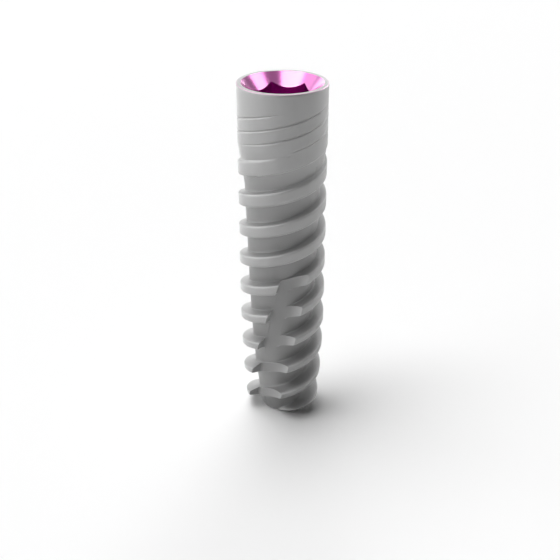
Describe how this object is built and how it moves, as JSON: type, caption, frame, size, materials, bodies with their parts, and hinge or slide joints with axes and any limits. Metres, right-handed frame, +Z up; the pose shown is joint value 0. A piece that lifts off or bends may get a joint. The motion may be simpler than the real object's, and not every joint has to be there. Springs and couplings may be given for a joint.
{
  "type": "dental implant",
  "caption": "Screw-form dental implant with a plain grooved collar, a flat platform over an internal hexagon, a coarse right-hand thread and cutting flutes at the nose",
  "frame": {"origin": "centre of the flat foot, on the long axis", "axes": "+Z runs up the long axis from the foot to the platform; -Y is the front, where one cutting flute shows; +X is to the right"},
  "size_m": [0.0038, 0.0038, 0.0154],
  "materials": {
    "blasted_titanium": "matte, grit blasted"
  },
  "bodies": {
    "root": {"implant_body": "blasted_titanium"}
  },
  "joints": []
}
